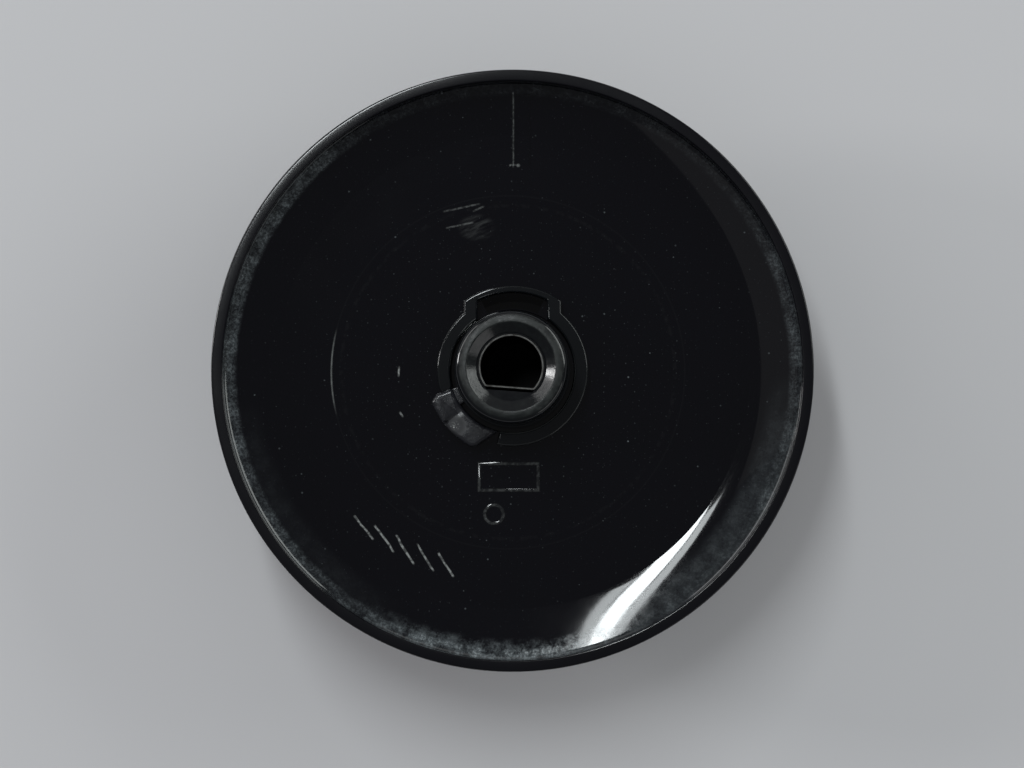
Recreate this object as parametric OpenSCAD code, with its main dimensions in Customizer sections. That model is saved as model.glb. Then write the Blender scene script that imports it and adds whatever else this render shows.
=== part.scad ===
// Skirted timer knob with a moulded hub for a D shaft.
// The knob stands on its grip face: z = 0 is that face, +Z runs along the shaft axis to the hub's end,
// and +Y points to the index mark on the skirt.

/* [Rim and skirt] */
// Diameter over the rim
rim_d = 61; // [54:0.5:80]
// Width of the rounded lip round the rim
lip_w = 1.2; // [0.8:0.1:2]
// Height of the lip above the dished band
lip_h = 2.2; // [1:0.1:4]
// Width of the dished band inside the lip
band_w = 5.1; // [3:0.1:8]
// Slope of the band at its inner edge, in degrees
band_in_slope = 8; // [4:1:14]
// Slope of the band at the lip, in degrees
band_out_slope = 23; // [16:1:34]
// Thickness of the skirt beside the grip
web_t = 2.2; // [1.6:0.1:4]
// Thickness of the skirt under the lip
skirt_edge_t = 2.4; // [1.6:0.1:4]
// Radius of the skirt's front edge
skirt_edge_r = 0.5; // [0.2:0.1:0.7]

/* [Index mark] */
// Width of the mark
mark_w = 1.9; // [1:0.1:4]
// Length of the mark along the radius
mark_len = 7.2; // [3:0.1:7.5]
// Distance from the rim to the mark's outer end
mark_inset = 2.2; // [2.2:0.1:3]
// Sideways distance from the axis to the mark's centre line
mark_shift = 0.95; // [-1:0.05:1]
// Depth of the recess behind the mark
mark_recess = 0.2; // [0.1:0.05:0.5]
// Height of the raised mark on the skirt's front
mark_rise = 0.4; // [0.2:0.05:0.8]

/* [Grip] */
// Diameter of the grip beside the skirt
grip_d = 38; // [28:0.5:40]
// Height of the grip, from its face to the skirt
grip_h = 12; // [9:0.5:20]
// Taper of the grip's side, in degrees
grip_draft = 5; // [1:0.5:8]
// Radius round the edge of the grip's face
grip_edge_r = 1.4; // [0.6:0.1:2]
// Radius of the corner between grip and skirt
grip_root_r = 1; // [0.4:0.1:1.4]
// Diameter of the shallow recess in the grip's face
face_recess_d = 28; // [12:1:28]
// Depth of that recess
face_recess_depth = 0.5; // [0.2:0.1:1]
// Number of finger flutes round the grip
flute_count = 24; // [12:1:30]
// Radius of a flute
flute_r = 1.5; // [1:0.1:1.8]
// Depth of a flute
flute_depth = 0.5; // [0.2:0.05:0.7]
// Distance from the skirt to where a flute runs out
flute_stop = 2; // [1.6:0.1:4]

/* [Shaft clip] */
// Diameter of the clip's bore
shaft_d = 6.1; // [6:0.05:8]
// Distance from the axis to the flat of the bore
shaft_flat = 1.95; // [1.8:0.05:2.3]
// Turn of the flat about the axis, in degrees
flat_turn = -4.35; // [-10:0.05:10]
// Thickness of the clip's sheet
clip_wall = 0.2; // [0.2:0.05:0.4]
// Length of the clip
clip_len = 10; // [6:0.5:14]
// Height of the clip's end above the socket's mouth
clip_proud = 0.2; // [0.1:0.05:0.6]
// Clearance between the clip and the round side of its socket
clip_fit = 0.03; // [0.01:0.01:0.06]
// Room behind the clip's flat
clip_spring_gap = 0.25; // [0.1:0.05:0.4]

/* [Hub] */
// Wall of the boss round the socket
boss_wall = 2.32; // [2.2:0.02:3]
// Height of the boss above the skirt's floor
boss_h = 11; // [8:0.5:14]
// Radius round the boss's end
boss_edge_r = 0.6; // [0.2:0.05:0.7]
// Width of the flat land between the socket's mouth and the lead-in
mouth_land = 0.1; // [0.05:0.05:0.2]
// Width of the sloped lead-in round the socket's mouth
lead_w = 1.1; // [0.6:0.05:1.2]
// Slope of the lead-in, in degrees
lead_slope = 35; // [25:1:50]
// Depth of the socket below its mouth
socket_depth = 16; // [14.5:0.5:18]
// Step of the boss's foot outside the boss
foot_step = 0.25; // [0.2:0.05:0.4]
// Height of the foot above the tallest part round it
foot_rise = 0.2; // [0.1:0.05:0.5]
// Width of the groove between the foot and the collar
groove_w = 0.4; // [0.3:0.05:1.4]
// Depth of the groove below the skirt's floor
groove_depth = 0.6; // [0.2:0.1:1]
// Ledge between the groove and what stands round it
groove_ledge = 0.06; // [0.04:0.01:0.1]
// Wall of the collar
collar_wall = 1.35; // [1:0.05:2.4]
// Height of the collar above the skirt's floor
collar_h = 1.8; // [1.2:0.1:3.5]
// Radius round the collar's top edges
collar_edge_r = 0.3; // [0.1:0.05:0.45]
// Direction of the collar's plain end, in degrees
collar_start = -102; // [-110:1:-95]
// Direction of the collar's round end, in degrees
collar_end = 193; // [190:1:196]

/* [Slot] */
// Width over the collar's bulge round the slot
bulge_w = 9.9; // [9:0.1:11]
// Wall of the bulge outside the slot
bulge_wall = 0.7; // [0.6:0.05:1.2]
// Width of the open pocket inside the bulge
pocket_w = 7.1; // [6.4:0.1:7.6]
// Width of the deep slot in the pocket
slot_w = 5.7; // [4:0.1:6.2]
// Distance from the groove to the slot
slot_inset = 0.15; // [0.1:0.05:0.3]
// Width of the slot along the radius
slot_t = 1.55; // [1.5:0.05:2]
// Ledge between the slot and the bulge's wall
slot_ledge = 0.12; // [0.08:0.02:0.2]
// Depth of the slot below the skirt's floor
slot_depth = 6; // [2:0.5:7]

/* [Lug] */
// Height of the lug above the skirt's floor
lug_h = 2.3; // [1.6:0.1:4]
// Reach of the lug past the collar
lug_reach = 1.15; // [0.6:0.05:1.6]
// Direction of the lug's first side, in degrees
lug_start = 197; // [195:1:200]
// Direction of the lug's last side at the groove, in degrees
lug_end = 257; // [250:1:257]
// Splay of the lug's last side, in degrees
lug_splay = 42; // [30:1:50]
// Span of the bridge from lug to boss, in degrees
bridge_span = 16; // [10:1:24]
// Drop from the lug's top to the bridge's top
bridge_drop = 0.25; // [0.1:0.05:0.6]
// Width of the chip in the lug's outer corner
chip_w = 1.5; // [0.8:0.1:1.8]
// Length of the chip along the lug's edge
chip_len = 2.4; // [1.2:0.1:3]
// Thickness of the chip
chip_t = 1.2; // [0.6:0.1:1.5]
// Direction of the chip, in degrees
chip_dir = 216; // [212:1:228]
// Lean of the chip about the three axes, in degrees
chip_lean = [20, 50, 25]; // [0:5:60]

/* [Hidden] */

$fn = 96;
// Steps in one rounded corner of a profile
corner_steps = 8;
// Overlap that lets cuts and joined solids pass through each other
over = 0.5;
// Angle by which a wall runs past the planes that trim it
spare_angle = 3;

rim_r = rim_d / 2;
band_out_r = rim_r - lip_w;
crease_r = band_out_r - band_w;
floor_z = grip_h + web_t;
band_arc_r = band_w / (sin(band_out_slope) - sin(band_in_slope));
band_rise = band_arc_r * (cos(band_in_slope) - cos(band_out_slope));
band_out_z = floor_z + band_rise;
lip_r = lip_w / 2;
lip_top_z = band_out_z + lip_h;
skirt_front_z = band_out_z - skirt_edge_t;

grip_r = grip_d / 2;
face_r = grip_r - grip_h * tan(grip_draft);

shaft_r = shaft_d / 2;
clip_r = shaft_r + clip_wall;
clip_flat = shaft_flat + clip_wall;
socket_r = clip_r + clip_fit;
socket_flat = clip_flat + clip_spring_gap;
boss_r = socket_r + boss_wall;
boss_top_z = floor_z + boss_h;
mouth_z = boss_top_z - lead_w * tan(lead_slope);
clip_bottom_z = mouth_z + clip_proud - clip_len;

foot_r = boss_r + foot_step;
foot_top_z = floor_z + max(collar_h, lug_h) + foot_rise;
groove_r = foot_r + groove_w;
collar_in_r = groove_r + groove_ledge;
collar_r = collar_in_r + collar_wall;
slot_in_r = groove_r + slot_inset;
slot_out_r = slot_in_r + slot_t;
bulge_r = slot_out_r + bulge_wall;
lug_r = collar_r + lug_reach;
groove_z = floor_z - groove_depth;

mark_out_r = rim_r - mark_inset;
mark_in_r = mark_out_r - mark_len;

// Points along an arc about a centre, from one angle to another
function arc(centre, radius, from, to) =
    [for (i = [0:corner_steps])
        let (a = from + (to - from) * i / corner_steps) centre + radius * [cos(a), sin(a)]];

// The skirt's inside, from the axis to the outer side of the lip
function back_line() = concat(
    [[0, floor_z]],
    arc([crease_r - band_arc_r * sin(band_in_slope), floor_z + band_arc_r * cos(band_in_slope)],
        band_arc_r, band_in_slope - 90, band_out_slope - 90),
    arc([rim_r - lip_r, lip_top_z - lip_r], lip_r, 180, 0));

// The skirt's front, from the rim to the corner at the grip
function front_line() = concat(
    arc([rim_r - skirt_edge_r, skirt_front_z + skirt_edge_r], skirt_edge_r, 0, -90),
    arc([grip_r + grip_root_r, grip_h - grip_root_r], grip_root_r, 90, 180));

// The grip, from its side to the middle of its face
function grip_line() = concat(
    arc([face_r - grip_edge_r, grip_edge_r], grip_edge_r, 0, -90),
    [[face_recess_d / 2, 0], [face_recess_d / 2, face_recess_depth], [0, face_recess_depth]]);

// Outline of a round hole or bar with one flat below its axis
module d_outline(radius, flat) {
    rotate(flat_turn)
        intersection() {
            circle(radius);
            translate([-radius, -flat]) square([2 * radius, radius + flat]);
        }
}

// A ring, as a flat outline
module ring_outline(outer, inner) {
    difference() {
        circle(outer);
        circle(inner);
    }
}

// A wedge from the axis, as a flat outline that covers less than half a turn
module wedge_outline(from, to, reach) {
    middle = (from + to) / 2;
    far = 2 * reach;
    polygon([[0, 0], far * [cos(from), sin(from)], far * [cos(middle), sin(middle)], far * [cos(to), sin(to)]]);
}

// A strip of a given width, from the axis along +Y
module strip_outline(width, reach) {
    translate([-width / 2, 0]) square([width, reach]);
}

// Grip, skirt and rim turned from one profile
module turned_body() {
    rotate_extrude() polygon(concat(back_line(), front_line(), grip_line()));
}

// One finger flute along the tapered side, turned outwards so that it runs out below the skirt
module flute() {
    run_out = atan(flute_depth / (grip_h - flute_stop));
    translate([face_r + flute_r - flute_depth, 0, 0])
        rotate([0, grip_draft + run_out, 0])
            translate([0, 0, -over]) cylinder(h = grip_h - flute_stop / 2 + over, r = flute_r);
}

// Upright block that covers the index mark
module mark_block(height) {
    translate([mark_shift - mark_w / 2, mark_in_r, 0]) cube([mark_w, mark_len, height]);
}

// Everything behind the skirt's inside, lowered by the depth of the recess
module recess_space() {
    top = lip_top_z + over;
    translate([0, 0, -mark_recess])
        rotate_extrude() polygon(concat(back_line(), [[rim_r, top], [0, top]]));
}

// Raised mark on the skirt's front, as deep as the skirt allows it to seat
module raised_mark() {
    intersection() {
        mark_block(skirt_front_z + over);
        translate([0, 0, -mark_rise])
            rotate_extrude()
                polygon([[grip_r, grip_h], [grip_r + grip_root_r, grip_h], [rim_r - skirt_edge_r, skirt_front_z],
                    [rim_r - skirt_edge_r, floor_z], [grip_r, floor_z]]);
    }
}

// Round boss on a stepped foot, with a rounded end and a sloped lead-in
module boss() {
    lead_in_r = socket_r + mouth_land;
    rotate_extrude()
        polygon(concat(
            [[0, groove_z - over], [foot_r, groove_z - over], [foot_r, foot_top_z], [boss_r, foot_top_z]],
            arc([boss_r - boss_edge_r, boss_top_z - boss_edge_r], boss_edge_r, 0, 90),
            [[lead_in_r + lead_w, boss_top_z], [lead_in_r, mouth_z], [0, mouth_z]]));
}

// Wall round the hub with rounded top edges, over a part of a turn
module wall_arc(outer, inner, from, to) {
    top = floor_z + collar_h;
    e = collar_edge_r;
    rotate([0, 0, from])
        rotate_extrude(angle = to - from)
            polygon(concat(
                [[inner, floor_z - over], [outer, floor_z - over]],
                arc([outer - e, top - e], e, 0, 90),
                arc([inner + e, top - e], e, 90, 180)));
}

// Collar with its straight-sided bulge
module collar() {
    mid_r = (collar_r + collar_in_r) / 2;
    half_bulge = asin(bulge_w / 2 / mid_r) + spare_angle;
    wall_arc(collar_r, collar_in_r, collar_start, collar_end);
    intersection() {
        wall_arc(bulge_r, mid_r, 90 - half_bulge, 90 + half_bulge);
        translate([0, 0, floor_z - 2 * over]) linear_extrude(collar_h + 3 * over) strip_outline(bulge_w, 2 * bulge_r);
    }
}

// Room inside the bulge: a shallow pocket and a deep narrow slot
module slot_space() {
    translate([0, 0, floor_z])
        linear_extrude(collar_h + over)
            intersection() {
                ring_outline(slot_out_r, (foot_r + groove_r) / 2);
                strip_outline(pocket_w, bulge_r);
            }
    translate([0, 0, floor_z - slot_depth])
        linear_extrude(slot_depth + over)
            intersection() {
                ring_outline(slot_out_r - slot_ledge, slot_in_r);
                strip_outline(slot_w, bulge_r);
            }
}

// Stop lug with a splayed side, bridged to the boss and chipped at its outer corner
module lug() {
    translate([0, 0, groove_z - over])
        linear_extrude(lug_h + groove_depth + over)
            difference() {
                intersection() {
                    ring_outline(lug_r, collar_in_r);
                    wedge_outline(lug_start, lug_end, lug_r);
                }
                rotate(lug_end)
                    translate([groove_r, 0])
                        rotate(-lug_splay) square(2 * lug_r);
            }
    translate([0, 0, groove_z - over])
        linear_extrude(lug_h + groove_depth + over - bridge_drop)
            intersection() {
                ring_outline(collar_in_r + over, foot_r - over);
                wedge_outline(lug_start, lug_start + bridge_span, lug_r);
            }
}

// Chip broken out of the lug's outer top corner
module chip() {
    rotate(chip_dir)
        translate([lug_r, 0, floor_z + lug_h])
            rotate(chip_lean) cube([chip_w, chip_len, chip_t], center = true);
}

// Ring-shaped groove round the boss
module groove_space() {
    translate([0, 0, groove_z])
        linear_extrude(groove_depth + over) ring_outline(groove_r, boss_r - over);
}

// Blind D socket: a seat for the clip, and the shaft's own hole below it
module socket_space() {
    translate([0, 0, clip_bottom_z]) linear_extrude(boss_h) d_outline(socket_r, socket_flat);
    translate([0, 0, mouth_z - socket_depth]) linear_extrude(socket_depth) d_outline(shaft_r, shaft_flat);
}

module knob_body() {
    color("#15161a")
        difference() {
            union() {
                difference() {
                    turned_body();
                    groove_space();
                    for (i = [0:flute_count - 1]) rotate(i * 360 / flute_count) flute();
                    intersection() {
                        mark_block(lip_top_z);
                        recess_space();
                    }
                }
                raised_mark();
                boss();
                collar();
                lug();
            }
            slot_space();
            socket_space();
            chip();
        }
}

// Sheet-steel clip bent to the shaft's D section
module shaft_clip() {
    color("#8f9090")
        translate([0, 0, clip_bottom_z])
            linear_extrude(clip_len)
                difference() {
                    d_outline(clip_r, clip_flat);
                    d_outline(shaft_r, shaft_flat);
                }
}

knob_body();
shaft_clip();
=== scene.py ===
"""Looks of a skirted timer knob that lies face down, with its hub towards the camera."""

import logging
import math
from dataclasses import dataclass, field
from enum import Enum
from typing import Any, Optional, Union

import bmesh
import bpy
from mathutils import Matrix, Quaternion, Vector


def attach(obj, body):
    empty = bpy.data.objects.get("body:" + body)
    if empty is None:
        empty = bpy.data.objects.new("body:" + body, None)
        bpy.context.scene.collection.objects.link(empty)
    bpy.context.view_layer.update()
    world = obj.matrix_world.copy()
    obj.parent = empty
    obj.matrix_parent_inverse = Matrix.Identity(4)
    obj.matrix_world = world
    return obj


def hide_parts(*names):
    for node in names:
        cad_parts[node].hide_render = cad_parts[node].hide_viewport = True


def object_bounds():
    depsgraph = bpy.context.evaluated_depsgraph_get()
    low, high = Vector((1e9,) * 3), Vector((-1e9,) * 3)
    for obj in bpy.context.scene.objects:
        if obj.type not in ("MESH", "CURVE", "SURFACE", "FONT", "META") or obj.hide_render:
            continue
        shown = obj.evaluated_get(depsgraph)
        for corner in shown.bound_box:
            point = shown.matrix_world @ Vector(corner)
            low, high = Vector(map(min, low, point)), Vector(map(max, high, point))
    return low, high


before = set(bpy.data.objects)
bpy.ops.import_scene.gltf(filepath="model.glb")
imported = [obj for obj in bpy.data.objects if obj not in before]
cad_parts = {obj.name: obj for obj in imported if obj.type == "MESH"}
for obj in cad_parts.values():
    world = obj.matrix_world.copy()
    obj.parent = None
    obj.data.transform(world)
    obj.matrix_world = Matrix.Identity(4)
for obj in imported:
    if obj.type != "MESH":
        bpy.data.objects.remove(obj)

LOG = logging.getLogger("timer_knob")

MM = 0.001
# Distance in millimetres under which vertices are merged
MERGE = 0.0005
# Depth in millimetres by which a raised form is sunk into what carries it
ROOT = 0.3
# Angle in degrees above which an edge is shaded sharp
SHARP_ANGLE = 32.0
CAD_BOX = [list(corner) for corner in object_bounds()]
Number = Union[int, float]


class Slot(Enum):
    """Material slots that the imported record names."""

    PLASTIC = "black_plastic"
    STEEL = "clip_steel"


class FaceKind(Enum):
    """Which of the moulding's two finishes a face takes."""

    GLOSS = 0
    WORN = 1


def polar(radius: float, angle: float, height: float = 0.0) -> Vector:
    """Gives a point from a radius and an angle about the shaft axis.

    Args:
        radius: Distance from the axis, in millimetres.
        angle: Direction from +X, in degrees.
        height: Height above the grip's face, in millimetres.

    Returns:
        The point, in millimetres.
    """
    turn = math.radians(angle)
    return Vector((radius * math.cos(turn), radius * math.sin(turn), height))


def chord_height(radius: float, half_width: float) -> float:
    """Distance from the axis to a chord of a circle with the given half width."""
    return math.sqrt(radius * radius - half_width * half_width)


class Pen:
    """Draws one chain of edges in a bmesh with extrude and spin."""

    def __init__(self, mesh: bmesh.types.BMesh, start: Vector) -> None:
        """Starts the chain.

        Args:
            mesh: The bmesh that gets the chain.
            start: First point, in millimetres.
        """
        self.mesh = mesh
        self.first = mesh.verts.new(start)
        self.tip = self.first

    def line(self, *points: Vector) -> None:
        """Draws straight edges.

        Args:
            points: The points that the edges run through, in millimetres.
        """
        for point in points:
            made = bmesh.ops.extrude_vert_indiv(self.mesh, verts=[self.tip])
            self.tip = made["verts"][0]
            self.tip.co = point

    def trace(self, *places: tuple[float, float]) -> None:
        """Draws straight edges in the XZ plane through pairs of a radius and a height."""
        self.line(*(Vector((radius, 0, height)) for radius, height in places))

    def arc(self, centre: Vector, axis: Vector, angle: float, steps: int) -> None:
        """Draws an arc from the tip.

        Args:
            centre: Centre of the arc, in millimetres.
            axis: Axis of the turn.
            angle: Angle of the turn by the right-hand rule, in degrees.
            steps: Number of edges.
        """
        made = bmesh.ops.spin(
            self.mesh, geom=[self.tip], cent=centre, axis=axis, angle=math.radians(angle),
            steps=steps, use_merge=False, use_duplicate=False)
        self.tip = next(g for g in made["geom_last"] if isinstance(g, bmesh.types.BMVert))

    def bend(self, heading: float, radius: float, angle: float, steps: int) -> None:
        """Draws an arc in the XZ plane that leaves the tip in a heading and turns clockwise.

        Args:
            heading: Direction of the start, in degrees above +X.
            radius: Radius of the arc, in millimetres.
            angle: Angle of the turn, in degrees.
            steps: Number of edges.
        """
        side = math.radians(heading - 90)
        centre = self.tip.co + Vector((math.cos(side), 0, math.sin(side))) * radius
        self.arc(centre, TOWARDS_DOWN, angle, steps)

    def close(self) -> bmesh.types.BMFace:
        """Joins the tip to the start and fills the loop.

        Returns:
            The one face of the loop.
        """
        self.mesh.edges.new((self.tip, self.first))
        made = bmesh.ops.edgeloop_fill(self.mesh, edges=self.mesh.edges[:])
        return made["faces"][0]


UP = Vector((0.0, 0.0, 1.0))
DOWN = Vector((0.0, 0.0, -1.0))
# Axes that turn a profile in the XZ plane towards +Z or away from it
TOWARDS_UP = Vector((0.0, -1.0, 0.0))
TOWARDS_DOWN = Vector((0.0, 1.0, 0.0))


@dataclass(frozen=True)
class DSection:
    """A round section with one flat below the axis, turned a little about the axis."""

    radius: float
    flat: float
    turn: float = -4.35

    def reach(self, angle: float) -> float:
        """Gives the distance from the axis to the section's edge.

        Args:
            angle: Direction from +X, in radians.

        Returns:
            The distance, in millimetres.
        """
        drop = -math.sin(angle - math.radians(self.turn))
        if drop <= 0.0:
            return self.radius
        return min(self.radius, self.flat / drop)

    def place(self, verts: list[bmesh.types.BMVert], height: float) -> None:
        """Moves a loop's vertices onto the section, along their own directions.

        Args:
            verts: The loop's vertices.
            height: Their new height, in millimetres.
        """
        for vert in verts:
            angle = math.atan2(vert.co.y, vert.co.x)
            reach = self.reach(angle)
            vert.co = Vector((reach * math.cos(angle), reach * math.sin(angle), height))


def extrude_loop(mesh: bmesh.types.BMesh, edges: list[bmesh.types.BMEdge]) -> tuple[list, list]:
    """Extrudes a loop of edges in place.

    Args:
        mesh: The bmesh to work on.
        edges: The loop's edges.

    Returns:
        The new vertices and the new loop's edges.
    """
    made = bmesh.ops.extrude_edge_only(mesh, edges=edges)
    verts = [g for g in made["geom"] if isinstance(g, bmesh.types.BMVert)]
    fresh = set(verts)
    loop = [g for g in made["geom"] if isinstance(g, bmesh.types.BMEdge)
            and g.verts[0] in fresh and g.verts[1] in fresh]
    return verts, loop


def round_edges(mesh: bmesh.types.BMesh, edges: list[bmesh.types.BMEdge], offset: float,
                segments: int) -> None:
    """Rounds edges with a bevel of the given size, in millimetres."""
    bmesh.ops.bevel(
        mesh, geom=edges, offset=offset, offset_type="OFFSET", affect="EDGES", segments=segments,
        profile=0.5, material=-1, clamp_overlap=False)


def finish_piece(name: str, mesh: bmesh.types.BMesh, finishes: list[bpy.types.Material],
                 nodes: list[str]) -> bpy.types.Object:
    """Turns a bmesh in millimetres into a piece of the object.

    Args:
        name: Name of the piece.
        mesh: The finished bmesh, which is freed.
        finishes: Materials in the order of the faces' material numbers.
        nodes: CAD nodes that the piece stands for.

    Returns:
        The piece, riding on the only body.
    """
    bmesh.ops.remove_doubles(mesh, verts=mesh.verts[:], dist=MERGE)
    bmesh.ops.recalc_face_normals(mesh, faces=mesh.faces[:])
    bmesh.ops.scale(mesh, vec=Vector((MM, MM, MM)), verts=mesh.verts[:])
    for face in mesh.faces:
        face.smooth = face.material_index != FaceKind.WORN.value
    data = bpy.data.meshes.new(name)
    mesh.to_mesh(data)
    mesh.free()
    data.set_sharp_from_angle(angle=math.radians(SHARP_ANGLE))
    for material in finishes:
        data.materials.append(material)
    piece = bpy.data.objects.new(name, data)
    bpy.context.scene.collection.objects.link(piece)
    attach(piece, "root")
    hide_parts(*nodes)
    LOG.info("%s: %d faces", name, len(data.polygons))
    return piece


class Value:
    """A shader socket that takes part in Python expressions."""

    def __init__(self, graph: "Graph", socket: bpy.types.NodeSocket) -> None:
        """Wraps an output socket of a graph's node."""
        self.graph = graph
        self.socket = socket

    def _math(self, operation: str, *operands: Any) -> "Value":
        """Adds a Math node for an operation on the operands."""
        sockets = dict(enumerate(operands))
        return self.graph.value("ShaderNodeMath", {"operation": operation}, sockets)

    def __add__(self, other: Any) -> "Value":
        """Sum."""
        return self._math("ADD", self, other)

    __radd__ = __add__

    def __sub__(self, other: Any) -> "Value":
        """Difference."""
        return self._math("SUBTRACT", self, other)

    def __rsub__(self, other: Any) -> "Value":
        """Difference from a number."""
        return self._math("SUBTRACT", other, self)

    def __mul__(self, other: Any) -> "Value":
        """Product."""
        return self._math("MULTIPLY", self, other)

    __rmul__ = __mul__

    def __truediv__(self, other: Any) -> "Value":
        """Quotient."""
        return self._math("DIVIDE", self, other)

    def __rtruediv__(self, other: Any) -> "Value":
        """Quotient of a number."""
        return self._math("DIVIDE", other, self)

    def __pow__(self, other: Any) -> "Value":
        """Power."""
        return self._math("POWER", self, other)

    def __abs__(self) -> "Value":
        """Size without its sign."""
        return self._math("ABSOLUTE", self)

    def lowest(self, other: Any) -> "Value":
        """The smaller of two values."""
        return self._math("MINIMUM", self, other)

    def highest(self, other: Any) -> "Value":
        """The larger of two values."""
        return self._math("MAXIMUM", self, other)

    def rise(self, start: Number, end: Number) -> "Value":
        """Gives a smooth step.

        Args:
            start: Value at which the step is 0.
            end: Value at which the step is 1; below start for a falling step.

        Returns:
            The step, from 0 to 1.
        """
        if end < start:
            return 1.0 - self.rise(end, start)
        return self.graph.value(
            "ShaderNodeMapRange", {"interpolation_type": "SMOOTHSTEP", "clamp": True},
            {"Value": self, "From Min": start, "From Max": end})

    def between(self, low: Number, high: Number, soft: Number) -> "Value":
        """Smooth window that is 1 between two values and falls off outside them."""
        return self.rise(low - soft, low) * self.rise(high + soft, high)


class Graph:
    """The node tree of one material or of the sky."""

    def __init__(self, owner: Union[bpy.types.Material, bpy.types.World]) -> None:
        """Starts an empty tree.

        Args:
            owner: The material or world that gets the tree.
        """
        self.owner = owner
        self.owner.use_nodes = True
        self.tree = self.owner.node_tree
        self.tree.nodes.clear()

    def node(self, kind: str, settings: Optional[dict] = None,
             sockets: Optional[dict] = None) -> bpy.types.Node:
        """Adds a node.

        Args:
            kind: Node type.
            settings: Properties, which are set first.
            sockets: Values or links by input name or number.

        Returns:
            The node.
        """
        made = self.tree.nodes.new(kind)
        for key, setting in (settings or {}).items():
            setattr(made, key, setting)
        for key, source in (sockets or {}).items():
            target = made.inputs[key]
            if isinstance(source, Value):
                self.tree.links.new(source.socket, target)
            elif isinstance(source, bpy.types.NodeSocket):
                self.tree.links.new(source, target)
            else:
                target.default_value = source
        return made

    def value(self, kind: str, settings: Optional[dict] = None, sockets: Optional[dict] = None,
              output: Union[int, str] = 0) -> Value:
        """Adds a node and wraps one of its outputs."""
        return Value(self, self.node(kind, settings, sockets).outputs[output])

    def place(self) -> tuple[Value, Value, Value, Value]:
        """Gives the surface point in millimetres.

        Returns:
            The point as a vector, and its three parts.
        """
        coords = self.value("ShaderNodeTexCoord", output="Object")
        point = self.value("ShaderNodeVectorMath", {"operation": "SCALE"}, {0: coords, "Scale": 1.0 / MM})
        parts = self.node("ShaderNodeSeparateXYZ", sockets={0: point})
        x, y, z = (Value(self, part) for part in parts.outputs)
        return point, x, y, z

    def mapped(self, point: Value, turn: float, grain: tuple[float, float, float]) -> Value:
        """Gives a point in the frame of a pattern that is turned about the shaft axis.

        Args:
            point: The point, in millimetres.
            turn: Turn of the pattern about +Z, in degrees.
            grain: Length of the pattern's grain along its three axes, in millimetres.

        Returns:
            The point in the pattern's frame.
        """
        return self.value(
            "ShaderNodeMapping", {"vector_type": "TEXTURE"},
            {"Vector": point, "Rotation": (0.0, 0.0, math.radians(turn)), "Scale": grain})

    def noise(self, point: Value, scale: float, detail: float = 3.0, rough: float = 0.55) -> Value:
        """Noise with about the given number of grains per millimetre."""
        return self.value(
            "ShaderNodeTexNoise", {"noise_dimensions": "3D"},
            {"Vector": point, "Scale": scale, "Detail": detail, "Roughness": rough}, "Fac")

    def blend(self, factor: Any, first: Any, second: Any) -> Value:
        """Mixes two colours."""
        return self.value(
            "ShaderNodeMix", {"data_type": "RGBA"}, {"Factor": factor, 6: first, 7: second}, 2)

    def bump(self, height: Value) -> Value:
        """Gives a normal from a height in millimetres."""
        sockets = {"Height": height, "Strength": 1.0, "Distance": MM}
        return self.value("ShaderNodeBump", sockets=sockets, output="Normal")

    def surface(self, sockets: dict) -> bpy.types.Material:
        """Ends the tree with a Principled surface.

        Args:
            sockets: Values or links of the Principled inputs.

        Returns:
            The material.
        """
        shader = self.node("ShaderNodeBsdfPrincipled", sockets=sockets)
        self.node("ShaderNodeOutputMaterial", sockets={"Surface": shader.outputs["BSDF"]})
        return self.owner


def distance(x: Value, y: Value) -> Value:
    """Length of a flat step with the given parts."""
    return (x * x + y * y) ** 0.5


def stroke(x: Value, y: Value, start: tuple[float, float], end: tuple[float, float], width: float) -> Value:
    """Gives the mask of a straight scratch on the dished side.

    Args:
        x: Place along +X, in millimetres.
        y: Place along +Y, in millimetres.
        start: First end of the scratch, in millimetres.
        end: Last end of the scratch, in millimetres.
        width: Width of the scratch, in millimetres.

    Returns:
        The mask, from 0 to 1.
    """
    run = Vector(end) - Vector(start)
    length = run.length
    along = run / length
    ahead = (x - start[0]) * along.x + (y - start[1]) * along.y
    aside = (y - start[1]) * along.x - (x - start[0]) * along.y
    return abs(aside).rise(width, width * 0.3) * ahead.between(0.0, length, 0.3)


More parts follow.
